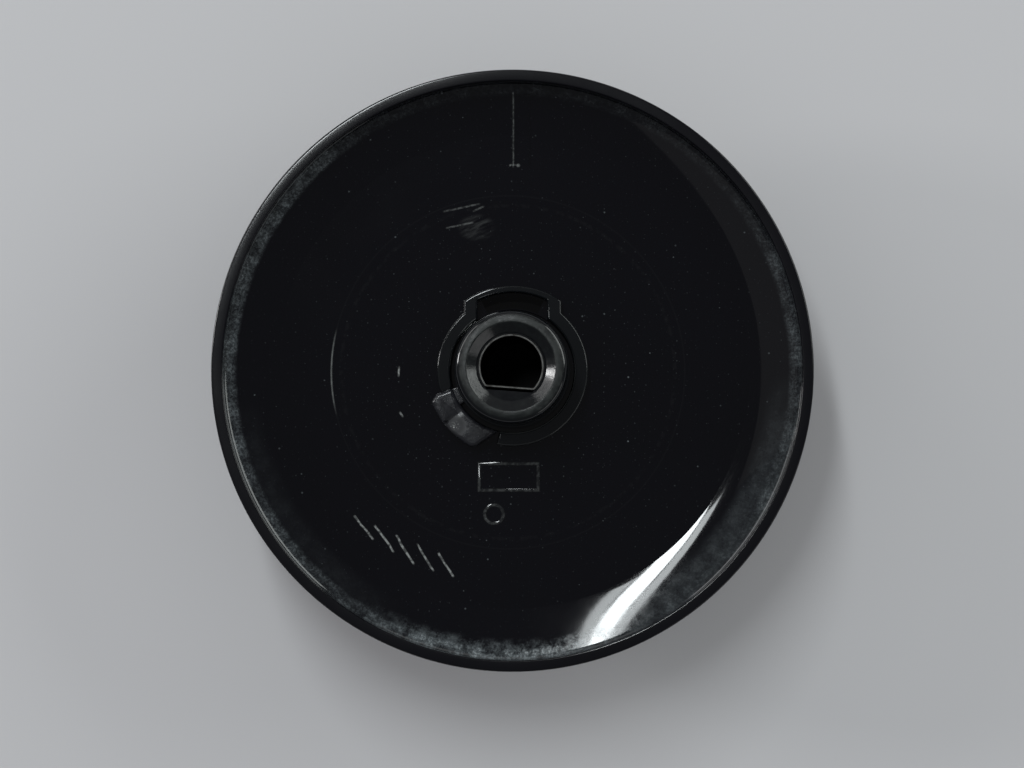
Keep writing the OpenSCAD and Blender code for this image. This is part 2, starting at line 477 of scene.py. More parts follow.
@dataclass(frozen=True)
class KnobSizes:
    """Sizes of the moulding in millimetres, as in the CAD model."""

    rim_r: float = min(CAD_BOX[1][0], CAD_BOX[1][1]) / MM - 0.001
    boss_top: float = CAD_BOX[1][2] / MM
    lip_w: float = 1.2
    lip_h: float = 2.2
    lip_lean: float = 0.06
    lip_in_r: float = 0.13
    lip_out_r: float = 0.2
    lip_rise: float = 3.0
    lip_fall: float = 0.5
    band_w: float = 5.1
    band_in_slope: float = 8.0
    band_out_slope: float = 23.0
    skirt_edge_t: float = 2.4
    skirt_edge_r: float = 0.5
    grip_r: float = 19.0
    grip_h: float = 12.0
    web_t: float = 2.2
    grip_draft: float = 5.0
    grip_edge_r: float = 1.4
    grip_root_r: float = 1.0
    recess_r: float = 14.0
    recess_depth: float = 0.5
    recess_edge: float = 0.06
    flute_count: int = 24
    flute_r: float = 1.5
    flute_depth: float = 0.5
    flute_stop: float = 2.0
    shaft_r: float = 3.05
    shaft_flat: float = 1.95
    clip_wall: float = 0.2
    clip_len: float = 10.0
    clip_proud: float = 0.2
    clip_fit: float = 0.03
    spring_gap: float = 0.25
    boss_r: float = 5.6
    dome_w: float = 0.66
    dome_slope: float = 24.0
    mouth_land: float = 0.1
    lead_w: float = 1.1
    lead_slope: float = 35.0
    socket_depth: float = 16.0
    foot_step: float = 0.25
    foot_rise: float = 0.2
    foot_fillet: float = 0.06
    foot_edge: float = 0.04
    groove_w: float = 0.4
    groove_depth: float = 0.6
    groove_ledge: float = 0.06
    groove_edge: float = 0.05
    collar_wall: float = 1.35
    collar_h: float = 1.8
    collar_edge_r: float = 0.19
    collar_start: float = -102.0
    collar_end: float = 193.0
    bulge_w: float = 9.9
    bulge_wall: float = 0.7
    pocket_w: float = 7.1
    slot_w: float = 5.7
    slot_inset: float = 0.15
    slot_t: float = 1.55
    slot_ledge: float = 0.12
    slot_depth: float = 6.0
    lug_h: float = 2.3
    lug_edge_r: float = 0.34
    lug_reach: float = 1.15
    lug_start: float = 197.0
    lug_end: float = 257.0
    lug_splay: float = 42.0
    bridge_span: float = 16.0
    bridge_edge_r: float = 0.12
    mark_w: float = 1.9
    mark_len: float = 7.2
    mark_inset: float = 2.2
    mark_shift: float = 0.95
    mark_recess: float = 0.2
    mark_rise: float = 0.4
    mark_edge_r: float = 0.15
    plate_centre: tuple = (-0.4, -10.8)
    plate_half: tuple = (3.0, 1.35)
    ring_centre: tuple = (-1.9, -14.6)
    ring_radius: float = 0.95
    sign_w: float = 0.3
    sign_rise: float = 0.05
    sign_root: float = 0.1
    sign_edge_r: float = 0.03

    @property
    def floor_z(self) -> float:
        """Height of the flat inside of the skirt."""
        return self.grip_h + self.web_t

    @property
    def band_out_r(self) -> float:
        """Radius at the foot of the lip."""
        return self.rim_r - self.lip_w

    @property
    def crease_r(self) -> float:
        """Radius of the crease where the dished band starts."""
        return self.band_out_r - self.band_w

    @property
    def band_arc_r(self) -> float:
        """Radius of the band's hollow."""
        inner = math.sin(math.radians(self.band_in_slope))
        outer = math.sin(math.radians(self.band_out_slope))
        return self.band_w / (outer - inner)

    @property
    def band_out_z(self) -> float:
        """Height at the foot of the lip."""
        inner = math.cos(math.radians(self.band_in_slope))
        outer = math.cos(math.radians(self.band_out_slope))
        return self.floor_z + self.band_arc_r * (inner - outer)

    @property
    def lip_top(self) -> float:
        """Height of the lip."""
        return self.band_out_z + self.lip_h

    @property
    def skirt_front(self) -> float:
        """Height of the skirt's front at the rim."""
        return self.band_out_z - self.skirt_edge_t

    @property
    def face_r(self) -> float:
        """Radius of the grip at its face."""
        return self.grip_r - self.grip_h * math.tan(math.radians(self.grip_draft))

    @property
    def socket_r(self) -> float:
        """Radius of the clip's seat."""
        return self.shaft_r + self.clip_wall + self.clip_fit

    @property
    def mouth_z(self) -> float:
        """Height of the socket's mouth."""
        return self.boss_top - self.lead_w * math.tan(math.radians(self.lead_slope))

    @property
    def clip_bottom(self) -> float:
        """Height of the clip's lower end."""
        return self.mouth_z + self.clip_proud - self.clip_len

    @property
    def foot_r(self) -> float:
        """Radius of the boss's foot."""
        return self.boss_r + self.foot_step

    @property
    def foot_top(self) -> float:
        """Height of the foot's step."""
        return self.floor_z + max(self.collar_h, self.lug_h) + self.foot_rise

    @property
    def groove_r(self) -> float:
        """Outer radius of the groove."""
        return self.foot_r + self.groove_w

    @property
    def groove_z(self) -> float:
        """Height of the groove's bottom."""
        return self.floor_z - self.groove_depth

    @property
    def collar_in_r(self) -> float:
        """Inner radius of the collar."""
        return self.groove_r + self.groove_ledge

    @property
    def collar_r(self) -> float:
        """Outer radius of the collar."""
        return self.collar_in_r + self.collar_wall

    @property
    def slot_in_r(self) -> float:
        """Inner radius of the slot."""
        return self.groove_r + self.slot_inset

    @property
    def slot_out_r(self) -> float:
        """Outer radius of the pocket round the slot."""
        return self.slot_in_r + self.slot_t

    @property
    def bulge_r(self) -> float:
        """Outer radius of the collar's bulge."""
        return self.slot_out_r + self.bulge_wall

    @property
    def lug_r(self) -> float:
        """Outer radius of the lug."""
        return self.collar_r + self.lug_reach

    @property
    def mark_out_r(self) -> float:
        """Distance from the axis to the index mark's outer end."""
        return self.rim_r - self.mark_inset

    @property
    def mark_in_r(self) -> float:
        """Distance from the axis to the index mark's inner end."""
        return self.mark_out_r - self.mark_len


@dataclass(frozen=True)
class GlossPlastic:
    """Glossy black moulding with a dusty rim, specks, rub marks, scratches and a duller hub."""

    sizes: KnobSizes
    black: tuple = (0.0016, 0.0016, 0.003, 1.0)
    hub_tone: tuple = (0.0095, 0.013, 0.012, 1.0)
    dust: tuple = (0.2, 0.228, 0.24, 1.0)
    # Colour of the scratches and scuffs, also used for the painted highlight lines
    scratch: tuple = (0.36, 0.38, 0.37, 1.0)
    polish: float = 0.035
    land_rough: float = 0.5
    hub_rough: float = 0.06
    lip_rough: float = 0.1
    film_inner: float = 28.6
    film_outer: float = 29.5
    strip_heading: float = 162.0
    cloud_heading: float = 266.0
    smear_heading: float = 320.0
    smear_inner: float = 27.3
    corner_heading: float = 216.0
    # Centre and radius of the first off-centre pale ring
    arc_mark_centre: tuple = (-0.48, -0.08)
    arc_mark_radius: float = 18.05
    scuff_centre: tuple = (-3.7, 14.7)
    # Painted glint dots at the index recess's inner end: place along it, size and strength
    foot_glints: tuple = ((-0.25, 0.15, 0.6), (0.57, 0.25, 0.8))
    strokes: tuple = (
        ((-15.9, -14.9), (-14.3, -17.0)),
        ((-13.9, -15.9), (-12.2, -18.3)),
        ((-11.8, -16.9), (-10.2, -19.5)),
        ((-9.6, -17.8), (-8.2, -20.2)),
        ((-7.4, -18.7), (-6.2, -20.8)),
        ((-11.7, 0.3), (-11.7, -0.35)),
        ((-11.4, -4.35), (-11.3, -4.5)),
    )
    scuffs: tuple = (
        ((-6.9, 16.4), (-3.5, 17.1)),
        ((-3.8, 16.45), (-3.1, 16.8)),
        ((-6.6, 14.7), (-4.2, 15.2)),
    )

    def _film(self, graph: Graph, point: Value, x: Value, y: Value, radius: Value, back: Value) -> Value:
        """Dust at the foot of the lip: a crumbly strip, and soft clouds where it was wiped about.

        Args:
            graph: The material's graph.
            point: The surface point, in millimetres.
            x: Place along +X, in millimetres.
            y: Place along +Y, in millimetres.
            radius: Distance from the shaft axis, in millimetres.
            back: Mask of the dished side.

        Returns:
            The cover of dust, from 0 to 1.
        """
        def towards(heading: float, start: float, full: float) -> Value:
            """Mask of the rim's part that lies in a direction, from two cosines."""
            turn = math.radians(heading)
            return ((x * math.cos(turn) + y * math.sin(turn)) / radius).rise(start, full)

        bottom = towards(self.cloud_heading, 0.86, 0.985)
        corner = towards(self.corner_heading, 0.86, 0.97)
        right = towards(0.0, 0.8, 0.97)
        strip = towards(self.strip_heading, 0.72, 0.96)
        strip_side = 0.14 + 0.8 * strip + 0.6 * bottom + 0.4 * right + 0.45 * corner
        smear_side = towards(self.smear_heading, 0.76, 0.97) + 0.2 * corner
        patches = graph.noise(point, 0.6, 6.0, 0.72).rise(0.38, 0.68)
        crumbs = graph.noise(point, 3.4, 4.0, 0.8).rise(0.42, 0.64)
        track = radius.between(self.film_inner, self.film_outer, 0.6)
        cloud = radius.between(self.film_inner - 0.6, self.film_outer - 0.3, 0.9)
        crumbly = track * strip_side * (0.25 + 0.75 * patches) * (0.2 + 0.8 * crumbs)
        cloudy = cloud * bottom * patches * (0.55 + 0.45 * crumbs)
        smear = radius.between(self.smear_inner, self.film_outer - 0.5, 1.7)
        smeary = smear * smear_side * (0.4 + 0.6 * patches) * (0.65 + 0.35 * crumbs)
        return (crumbly * 0.8 + cloudy * 0.42 + smeary * 0.2) * back

    def _specks(self, graph: Graph, point: Value, radius: Value, back: Value) -> Value:
        """Dust specks of uneven size: a few coarse ones and many faint ones, thicker near the hub.

        Args:
            graph: The material's graph.
            point: The surface point, in millimetres.
            radius: Distance from the shaft axis, in millimetres.
            back: Mask of the dished side.

        Returns:
            The cover of specks.
        """
        total = None
        kinds = ((0.42, 0.055, 0.7, 0.55), (0.95, 0.085, 0.35, 0.2), (1.7, 0.1, 0.3, 0.14))
        for scale, largest, share, strength in kinds:
            cells = graph.node(
                "ShaderNodeTexVoronoi", {"voronoi_dimensions": "2D", "feature": "F1"},
                {"Vector": point, "Scale": scale})
            away = Value(graph, cells.outputs["Distance"])
            parts = graph.node("ShaderNodeSeparateColor", sockets={0: cells.outputs["Color"]})
            size = Value(graph, parts.outputs[0]).rise(share, 1.0) * largest + 0.0001
            light = 0.15 + 0.85 * Value(graph, parts.outputs[1])
            layer = (away / size).rise(1.0, 0.35) * light * strength
            total = layer if total is None else total + layer
        return total * (0.6 + 0.7 * radius.rise(21.0, 9.0)) * back

    def _rubs(self, graph: Graph, point: Value, x: Value, y: Value, back: Value) -> Value:
        """Off-centre rings, the first painted much paler along its left arc, a scuffed patch and short
        hatched scratches.

        Args:
            graph: The material's graph.
            point: The surface point, in millimetres.
            x: Place along +X, in millimetres.
            y: Place along +Y, in millimetres.
            back: Mask of the dished side.

        Returns:
            The mask of the marks.
        """
        from_x = x - self.arc_mark_centre[0]
        from_y = y - self.arc_mark_centre[1]
        radius = distance(from_x, from_y)
        broken = graph.noise(point, 1.4, 3.0).rise(0.42, 0.62)
        # The first ring is painted much paler along its left arc only
        window = (-1.0 * from_x / radius).rise(0.966, 0.999)
        ring = abs(radius - self.arc_mark_radius).rise(0.12, 0.02)
        second = abs(radius - self.arc_mark_radius + 1.0).rise(0.3, 0.05)
        rings = ring * (0.004 + 0.3 * window * (0.7 + 0.3 * broken)) + second * broken * 0.006
        patch_x = x - self.scuff_centre[0]
        patch_y = y - self.scuff_centre[1]
        streaks = graph.noise(graph.mapped(point, 24.0, (2.4, 0.4, 1.0)), 1.0, 4.0, 0.65).rise(0.36, 0.8)
        patch = ((patch_x * patch_x) / 4.5 + (patch_y * patch_y) / 2.4).rise(1.0, 0.0)
        wave_x = x + (graph.noise(point, 0.3, 2.0) - 0.5) * 0.7
        lines = sum((stroke(wave_x, y, start, end, 0.15) for start, end in self.strokes), start=0.0)
        faint = sum((stroke(wave_x, y, start, end, 0.13) for start, end in self.scuffs), start=0.0)
        rough_line = 0.25 + 0.75 * graph.noise(point, 2.6, 3.0).rise(0.36, 0.62)
        marks = patch * streaks * 0.1 + lines * rough_line * 0.6 + faint * rough_line * 0.16
        return (rings + marks) * back

    def _relief(self, graph: Graph, point: Value, x: Value, y: Value, back: Value) -> Value:
        """Painted highlight lines along the index recess's left edge and inner end, with painted glint dots
        there, and paler lines along the plain plate outline and ring of the dished side.

        Args:
            graph: The material's graph.
            point: The surface point, in millimetres.
            x: Place along +X, in millimetres.
            y: Place along +Y, in millimetres.
            back: Mask of the dished side.

        Returns:
            The mask of the painted highlight lines and the paler lines.
        """
        sizes = self.sizes
        edge = sizes.mark_shift - sizes.mark_w / 2
        # Painted highlight: a pale line along the recess's left edge only
        left = abs(x - edge - 0.07).rise(0.12, 0.03) * y.between(sizes.mark_in_r, sizes.mark_out_r, 0.3)
        # Painted highlight along the recess's inner end, with two painted glint dots
        foot_highlight_line = abs(y - sizes.mark_in_r - 0.05).rise(0.12, 0.03)
        foot = foot_highlight_line * x.between(edge - 0.2, edge + 0.5, 0.1) * 0.35
        for along, size, strength in self.foot_glints:
            gap_x = x - edge - along
            gap_y = y - sizes.mark_in_r
            foot = foot + distance(gap_x, gap_y).rise(size, size * 0.3) * strength
        plate_x = abs(x - sizes.plate_centre[0]) - sizes.plate_half[0]
        plate_y = abs(y - sizes.plate_centre[1]) - sizes.plate_half[1]
        plate = abs(plate_x.highest(plate_y)).rise(0.22, 0.06)
        ring_x = x - sizes.ring_centre[0]
        ring_y = y - sizes.ring_centre[1]
        ring = abs(distance(ring_x, ring_y) - sizes.ring_radius).rise(0.22, 0.06)
        faded = 0.25 + 0.75 * graph.noise(point, 2.4, 3.0).rise(0.38, 0.64)
        return (left * 0.24 * faded + foot * 0.3 + (plate + ring) * 0.1 * faded) * back

    def material(self) -> bpy.types.Material:
        """Makes the node material of the moulding.

        Returns:
            The material.
        """
        graph = Graph(bpy.data.materials.new("gloss_plastic"))
        point, x, y, z = graph.place()
        sizes = self.sizes
        radius = distance(x, y)
        above = z.rise(sizes.skirt_front + 0.45, sizes.skirt_front + 0.75)
        back = above * z.rise(sizes.lip_top - 0.5, sizes.lip_top - 0.9)
        hub = radius.rise(9.2, 9.0) * z.rise(sizes.floor_z + 0.1, sizes.floor_z + 0.5)
        inside = radius.rise(3.36, 3.2) * z.rise(sizes.mouth_z - 0.02, sizes.mouth_z - 0.15)
        end = z.rise(sizes.boss_top - 0.9, sizes.boss_top - 0.6) * radius.rise(5.3, 5.0) * (1.0 - inside)
        film = self._film(graph, point, x, y, radius, back)
        specks = self._specks(graph, point, radius, back * (1.0 - hub))
        rubs = self._rubs(graph, point, x, y, back)
        lines = self._relief(graph, point, x, y, back)
        # Painted highlight: thin pale lines along the collar's inner and outer top edges, on its lower
        # right side only
        inner_edge_highlight = abs(radius - sizes.collar_in_r - 0.07).rise(0.1, 0.03)
        outer_edge_highlight = abs(radius - sizes.collar_r + 0.07).rise(0.1, 0.03)
        lit_lower_side = ((x * 0.5 - y * 0.87) / radius).rise(0.1, 0.7)
        collar_top = z.rise(sizes.floor_z + sizes.collar_h - 0.35, sizes.floor_z + sizes.collar_h - 0.15)
        lines = lines + (inner_edge_highlight + outer_edge_highlight * 0.6) * lit_lower_side * collar_top * back * 0.07
        haze = graph.noise(point, 0.12, 3.0).rise(0.3, 0.75)
        grime = graph.noise(point, 1.5, 4.0, 0.65).rise(0.35, 0.7)
        powder = (film * 0.95 + specks * 0.8).lowest(1.0)
        mouth = radius.rise(4.5, 4.35)
        deep = radius.rise(3.6, 3.4) * z.rise(sizes.mouth_z - 1.0, sizes.mouth_z - 4.0)
        # Painted shade: the hub tone is cut by 60 % in the socket's lead-in and bore, so the funnel reads
        # darker
        worn = hub * (0.2 + end * (0.25 + 0.55 * grime)) * (1.0 - 0.6 * mouth)
        plain = graph.blend(worn, self.black, self.hub_tone)
        dusty = graph.blend(powder, plain, self.dust)
        # Scratches, scuffs and the painted highlight lines share the pale scratch colour
        colour = graph.blend((rubs + lines).lowest(1.0), dusty, self.scratch)
        dull = hub * self.hub_rough + end * (1.0 - 0.75 * mouth) * (0.5 + 0.5 * grime) * self.land_rough
        at_lip = radius.rise(sizes.band_out_r - 0.05, sizes.band_out_r)
        lip = at_lip * z.rise(sizes.band_out_z + 0.3, sizes.band_out_z + 0.5)
        base_rough = self.polish + haze * 0.025 + dull + lip * self.lip_rough
        rough = (base_rough + film * 0.35 + rubs * 0.25 + lines * 0.2 + deep * 0.7).lowest(0.8)
        peel = graph.noise(point, 0.35, 2.0) * 0.002 + grime * end * (1.0 - 0.6 * mouth) * 0.012
        return graph.surface({
            "Base Color": colour,
            "Roughness": rough,
            "Normal": graph.bump(peel),
            "IOR": 1.5,
        })


@dataclass(frozen=True)
class WornPlastic:
    """Dull, chafed plastic of the stop lug, paler towards +Y and where it is chipped."""

    dull: tuple = (0.011, 0.0115, 0.014, 1.0)
    pale: tuple = (0.036, 0.037, 0.043, 1.0)
    fleck: tuple = (0.5, 0.52, 0.5, 1.0)
    fleck_place: tuple = (-5.8, -5.65)

    def material(self) -> bpy.types.Material:
        """Makes the node material of the lug.

        Returns:
            The material.
        """
        graph = Graph(bpy.data.materials.new("worn_plastic"))
        point, x, y, _z = graph.place()
        from_x = x - self.fleck_place[0]
        from_y = y - self.fleck_place[1]
        blotches = graph.noise(point, 1.1, 4.0, 0.65)
        grit = graph.noise(point, 7.0, 3.0, 0.7)
        # The blotches are weighted towards +Y, so the lug's top is paler at its upper end and darker at its
        # lower end
        upper = y.rise(-7.4, -5.4)
        chafe = (blotches.rise(0.4, 0.75) * 0.5 + grit.rise(0.6, 0.8) * 0.4) * (0.15 + 0.7 * upper)
        reach = distance(from_x, from_y)
        near = reach.rise(0.6, 0.05)
        flecks = near * graph.noise(point, 9.0, 2.0).rise(0.55, 0.66)
        worn = graph.blend(chafe, self.dull, self.pale)
        return graph.surface({
            "Base Color": graph.blend(flecks, worn, self.fleck),
            "Roughness": 0.2 + chafe * 0.25 + reach.rise(1.3, 0.7) * 0.35,
            "Normal": graph.bump(grit * 0.006 + blotches * 0.012),
            "IOR": 1.5,
        })


@dataclass(frozen=True)
class ClipSteel:
    """Dull sheet steel with faint drawing lines, painted nearly black down the bore as shade."""

    top: float
    # Painted shade: the nearly black colour of the clip below its top edge
    grime: tuple = (0.004, 0.004, 0.004, 1.0)
    bright: tuple = (0.14, 0.14, 0.135, 1.0)
    dark: tuple = (0.055, 0.053, 0.05, 1.0)

    def material(self) -> bpy.types.Material:
        """Makes the node material of the clip.

        Returns:
            The material.
        """
        graph = Graph(bpy.data.materials.new("clip_steel"))
        point, _x, _y, z = graph.place()
        tarnish = graph.noise(point, 1.3, 3.0).rise(0.4, 0.7)
        # Painted shade: the colour turns nearly black from 0.1 to 0.7 mm below the clip's top
        down = z.rise(self.top - 0.1, self.top - 0.7)
        lines = graph.noise(graph.mapped(point, 0.0, (0.17, 0.17, 2.5)), 1.0, 2.0)
        return graph.surface({
            "Base Color": graph.blend(down, graph.blend(tarnish, self.bright, self.dark), self.grime),
            "Metallic": 1.0,
            "Roughness": 0.45 + 0.2 * lines,
            "Normal": graph.bump(lines * 0.01),
        })


@dataclass
class Moulding:
    """The knob's body: grip, skirt, rim and hub in one mesh."""

    sizes: KnobSizes
    finishes: list[bpy.types.Material]
    segments: int = 576
    chip_span: tuple = (215.5, 222.0)
    chip_depth: float = 0.24
    mesh: bmesh.types.BMesh = field(default_factory=bmesh.new)

    def _profile(self) -> None:
        """Draws the turned outline, from the socket's mouth over the rim to the middle of the face."""
        s = self.sizes
        lead_r = s.socket_r + s.mouth_land
        pen = Pen(self.mesh, Vector((lead_r, 0, s.mouth_z)))
        drop = math.tan(math.radians(s.lead_slope))
        for short in (s.lead_w - 0.08, 0.12, 0.06):
            pen.trace((lead_r + s.lead_w - short, s.boss_top - short * drop))
        dome_start = lead_r + s.lead_w + 0.06
        dome_r = s.dome_w / math.sin(math.radians(s.dome_slope))
        dome_end = dome_start + s.dome_w
        turn_in = math.sin(math.radians(s.dome_slope))
        edge_r = (s.boss_r - dome_end) / (1.0 - turn_in)
        edge_z = s.boss_top - dome_r + (dome_r - edge_r) * math.cos(math.radians(s.dome_slope))
        pen.trace((lead_r + s.lead_w + 0.04, s.boss_top), (dome_start, s.boss_top))
        pen.arc(Vector((dome_start, 0, s.boss_top - dome_r)), TOWARDS_DOWN, s.dome_slope, 10)
        pen.arc(Vector((s.boss_r - edge_r, 0, edge_z)), TOWARDS_DOWN, 90 - s.dome_slope, 10)
        pen.trace(
            (s.boss_r, s.foot_top + s.foot_fillet), (s.boss_r + s.foot_fillet, s.foot_top),
            (s.foot_r - s.foot_edge, s.foot_top), (s.foot_r, s.foot_top - s.foot_edge),
            (s.foot_r, s.groove_z), (s.groove_r, s.groove_z),
            (s.groove_r, s.floor_z - s.groove_edge), (s.groove_r + s.groove_edge, s.floor_z))
        floor_rings = (s.slot_in_r, s.slot_out_r - s.slot_ledge, s.lug_r + 1.0, s.crease_r - 0.03)
        pen.trace(*((radius, s.floor_z) for radius in floor_rings))
        self._rim_profile(pen)
        self._grip_profile(pen)

    def _rim_profile(self, pen: Pen) -> None:
        """Draws the dished band, the lip, the rim's outside and the skirt's front.

        Args:
            pen: The pen at the crease of the dish.
        """
        s = self.sizes
        slope = math.radians(s.band_in_slope)
        hollow_x = s.crease_r - s.band_arc_r * math.sin(slope)
        hollow_z = s.floor_z + s.band_arc_r * math.cos(slope)
        hollow = Vector((hollow_x, 0, hollow_z))
        edge = s.skirt_edge_r
        rise = math.radians(s.lip_rise)
        fall = math.radians(s.lip_fall)
        rounded = s.lip_in_r * (1.0 - math.sin(rise)) + s.lip_out_r * (1.0 - math.sin(fall))
        crown_r = (s.lip_w - s.lip_lean - rounded) / (math.sin(rise) + math.sin(fall))
        wall_top = s.lip_top - s.lip_in_r * math.cos(rise) - crown_r * (1.0 - math.cos(rise))
        pen.trace((s.crease_r, s.floor_z))
        pen.arc(hollow, TOWARDS_UP, 0.1, 1)
        pen.arc(hollow, TOWARDS_UP, s.band_out_slope - s.band_in_slope - 0.7, 22)
        pen.trace((s.band_out_r, s.band_out_z + 0.05), (s.band_out_r + s.lip_lean, wall_top))
        pen.bend(90, s.lip_in_r, 90 - s.lip_rise, 10)
        pen.bend(s.lip_rise, crown_r, s.lip_rise + s.lip_fall, 12)
        pen.bend(-s.lip_fall, s.lip_out_r, 90 - s.lip_fall, 8)
        pen.trace((s.rim_r, s.skirt_front + edge))
        pen.arc(Vector((s.rim_r - edge, 0, s.skirt_front + edge)), TOWARDS_DOWN, 90, 8)
        pen.trace(
            (s.rim_r - edge - 0.3, s.skirt_front - 0.03),
            (s.grip_r + s.grip_root_r + 0.1, s.grip_h + 0.01), (s.grip_r + s.grip_root_r, s.grip_h))

    def _grip_profile(self, pen: Pen) -> None:
        """Draws the grip's side and its face with the shallow recess.

        Args:
            pen: The pen at the root of the grip.
        """
        s = self.sizes
        side_steps = 16
        top = Vector((s.grip_r, 0, s.grip_h - s.grip_root_r))
        bottom = Vector((s.face_r, 0, s.grip_edge_r))
        edge = s.grip_edge_r
        pen.arc(Vector((s.grip_r + s.grip_root_r, 0, s.grip_h - s.grip_root_r)), TOWARDS_UP, 90, 8)
        pen.line(*(top.lerp(bottom, i / side_steps) for i in range(1, side_steps + 1)))
        pen.arc(Vector((s.face_r - edge, 0, edge)), TOWARDS_DOWN, 90, 10)
        pen.trace(
            (s.recess_r + s.recess_edge, 0), (s.recess_r, s.recess_edge), (s.recess_r, s.recess_depth),
            (s.recess_r - 0.3, s.recess_depth), (0, s.recess_depth))

    def _turn(self) -> None:
        """Spins the outline into the turned body."""
        self._profile()
        bmesh.ops.spin(
            self.mesh, geom=self.mesh.verts[:] + self.mesh.edges[:], cent=Vector(), axis=UP,
            angle=math.tau, steps=self.segments, use_merge=True, use_duplicate=False)
        bmesh.ops.remove_doubles(self.mesh, verts=self.mesh.verts[:], dist=MERGE)

    def _flutes(self) -> None:
        """Presses the finger flutes into the grip's side."""
        s = self.sizes
        pitch = math.tau / s.flute_count
        reach = s.grip_h - s.flute_stop
        for vert in self.mesh.verts:
            radius = math.hypot(vert.co.x, vert.co.y)
            depth = s.flute_depth * (1.0 - vert.co.z / reach)
            if depth <= 0.0 or radius < s.recess_r + 0.5:
                continue
            angle = math.atan2(vert.co.y, vert.co.x)
            wall = s.face_r + vert.co.z * math.tan(math.radians(s.grip_draft))
            across = wall * ((angle + pitch / 2) % pitch - pitch / 2)
            if abs(across) >= s.flute_r:
                continue
            hollow = wall - depth + s.flute_r - math.sqrt(s.flute_r ** 2 - across ** 2)
            if hollow < radius:
                vert.co.xy = vert.co.xy * (hollow / radius)

    def _socket(self) -> None:
        """Sinks the D socket from the boss's mouth, with a seat for the clip."""
        s = self.sizes
        seat = DSection(s.socket_r, s.shaft_flat + s.clip_wall + s.spring_gap)
        hole = DSection(s.shaft_r, s.shaft_flat)
        loop = [edge for edge in self.mesh.edges if edge.is_boundary]
        steps = (
            (seat, s.mouth_z), (seat, s.clip_bottom),
            (hole, s.clip_bottom), (hole, s.mouth_z - s.socket_depth))
        for section, height in steps:
            verts, loop = extrude_loop(self.mesh, loop)
            section.place(verts, height)
        bmesh.ops.edgeloop_fill(self.mesh, edges=loop)

    def _slot(self) -> None:
        """Sinks the deep slot inside the collar's bulge."""
        s = self.sizes
        outer = s.slot_out_r - s.slot_ledge
        middle_r = (s.slot_in_r + outer) / 2
        reach = math.degrees(math.asin(s.slot_w / 2 / middle_r))
        chosen = []
        for face in self.mesh.faces:
            centre = face.calc_center_median()
            radius = math.hypot(centre.x, centre.y)
            angle = math.degrees(math.atan2(centre.y, centre.x))
            level = abs(centre.z - s.floor_z) < 0.01
            if level and s.slot_in_r < radius < outer and abs(angle - 90) < reach:
                chosen.append(face)
        self._sink(chosen, s.slot_depth)

    def _sink(self, chosen: list[bmesh.types.BMFace], depth: float) -> None:
        """Sinks faces straight down, with upright walls round them.

        Args:
            chosen: The faces.
            depth: How far they sink, in millimetres.
        """
        made = bmesh.ops.extrude_face_region(self.mesh, geom=chosen)
        verts = [g for g in made["geom"] if isinstance(g, bmesh.types.BMVert)]
        bmesh.ops.translate(self.mesh, vec=DOWN * depth, verts=verts)
        bmesh.ops.delete(self.mesh, geom=[f for f in chosen if f.is_valid], context="FACES_ONLY")

    def _recess(self) -> None:
        """Cuts the index recess into the dished side, behind the raised mark."""
        s = self.sizes
        left = s.mark_shift - s.mark_w / 2
        right = s.mark_shift + s.mark_w / 2
        x_axis = Vector((1.0, 0.0, 0.0))
        y_axis = Vector((0.0, 1.0, 0.0))

        def behind_mark() -> list[bmesh.types.BMFace]:
            """Finds the faces of the dished side that reach into the mark's outline.

            Returns:
                The faces.
            """
            found = []
            for face in self.mesh.faces:
                xs = [vert.co.x for vert in face.verts]
                ys = [vert.co.y for vert in face.verts]
                over = min(xs) < right - 0.001 and max(xs) > left + 0.001
                beside = min(ys) < s.mark_out_r - 0.001 and max(ys) > s.mark_in_r + 0.001
                if over and beside and min(vert.co.z for vert in face.verts) > s.floor_z - 0.01:
                    found.append(face)
            return found

        cuts = ((x_axis, left), (x_axis, right), (y_axis, s.mark_in_r), (y_axis, s.mark_out_r))
        for normal, place in cuts:
            faces = behind_mark()
            geom = {*faces, *(e for f in faces for e in f.edges), *(v for f in faces for v in f.verts)}
            bmesh.ops.bisect_plane(
                self.mesh, geom=list(geom), dist=MERGE, plane_co=normal * place, plane_no=normal)
        self._sink(behind_mark(), s.mark_recess)

    def _raise(self, outline: bmesh.types.BMesh, face: bmesh.types.BMFace, height: float,
               rounding: float) -> None:
        """Raises a flat outline to a wall with rounded top edges.

        Args:
            outline: The bmesh that holds only the outline.
            face: The outline's face.
            height: Height of the wall above the outline, in millimetres.
            rounding: Size of the rounding, in millimetres.
        """
        base_z = face.calc_center_median().z
        made = bmesh.ops.extrude_face_region(outline, geom=[face])
        verts = [g for g in made["geom"] if isinstance(g, bmesh.types.BMVert)]
        bmesh.ops.translate(outline, vec=UP * height, verts=verts)
        top = set(verts)
        rim = [edge for edge in outline.edges if edge.verts[0] in top and edge.verts[1] in top]
        bmesh.ops.recalc_face_normals(outline, faces=outline.faces[:])
        round_edges(outline, rim, rounding, 4)
        tops = [f for f in outline.faces if abs(f.normal.z) > 0.97 and f.calc_area() > 1.0]
        upper = max(abs(f.calc_center_median().z - base_z) for f in tops)
        tops = [f for f in tops if abs(abs(f.calc_center_median().z - base_z) - upper) < 0.01]
        bmesh.ops.inset_region(outline, faces=tops, thickness=0.03, use_even_offset=True)

    def _join(self, other: bmesh.types.BMesh, kind: FaceKind) -> None:
        """Adds another bmesh to the moulding.

        Args:
            other: The bmesh to add, which is freed.
            kind: The finish of all its faces.
        """
        for face in other.faces:
            face.material_index = kind.value
        carrier = bpy.data.meshes.new("carrier")
        other.to_mesh(carrier)
        other.free()
        self.mesh.from_mesh(carrier)
        bpy.data.meshes.remove(carrier)

